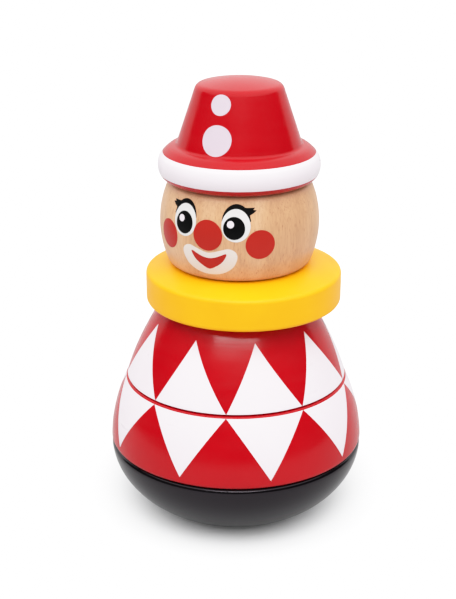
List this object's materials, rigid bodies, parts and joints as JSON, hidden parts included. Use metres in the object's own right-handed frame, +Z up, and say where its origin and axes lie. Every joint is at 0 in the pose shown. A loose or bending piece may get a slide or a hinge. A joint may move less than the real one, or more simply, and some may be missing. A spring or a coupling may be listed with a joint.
{
  "type": "stacking clown toy",
  "caption": "Wooden stacking clown: a weighted round-bottomed bowl with a dowel that carries a lift-off body cone, collar, head and brimmed hat.",
  "frame": {"origin": "centre of the flat foot, on the surface that the toy stands on", "axes": "+Z up along the dowel, -Y the way the painted face looks"},
  "size_m": [0.105, 0.105, 0.184],
  "materials": {
    "black_shell": "satin moulded black plastic",
    "ballast_iron": "as cast",
    "fastener_steel": "zinc plated",
    "red_lacquer": "satin-gloss red lacquer on wood",
    "yellow_lacquer": "satin-gloss yellow lacquer on wood",
    "beech": "clear satin lacquer on beech",
    "white_paint": "satin-gloss white paint on wood",
    "red_paint": "satin red paint on wood",
    "black_paint": "satin black paint on wood"
  },
  "bodies": {
    "base": {"base_shell": "black_shell", "ballast_ring": "ballast_iron", "foot_plug": "black_shell", "base_screw": "fastener_steel", "screw_washer": "fastener_steel", "lower_body": "red_lacquer", "spindle": "beech"},
    "upper_body": {"upper_body": "red_lacquer"},
    "collar": {"collar": "yellow_lacquer"},
    "head": {"head": "beech"},
    "hat": {"hat": "red_lacquer"}
  },
  "joints": [
    {"name": "upper_body_lift", "type": "slide", "parent": "base", "child": "upper_body", "axis": [0, 0, 1], "range_m": [0, 0.11]},
    {"name": "collar_lift", "type": "slide", "parent": "upper_body", "child": "collar", "axis": [0, 0, 1], "range_m": [0, 0.077]},
    {"name": "head_lift", "type": "slide", "parent": "collar", "child": "head", "axis": [0, 0, 1], "range_m": [0, 0.061]},
    {"name": "hat_lift", "type": "slide", "parent": "head", "child": "hat", "axis": [0, 0, 1], "range_m": [0, 0.027]}
  ]
}
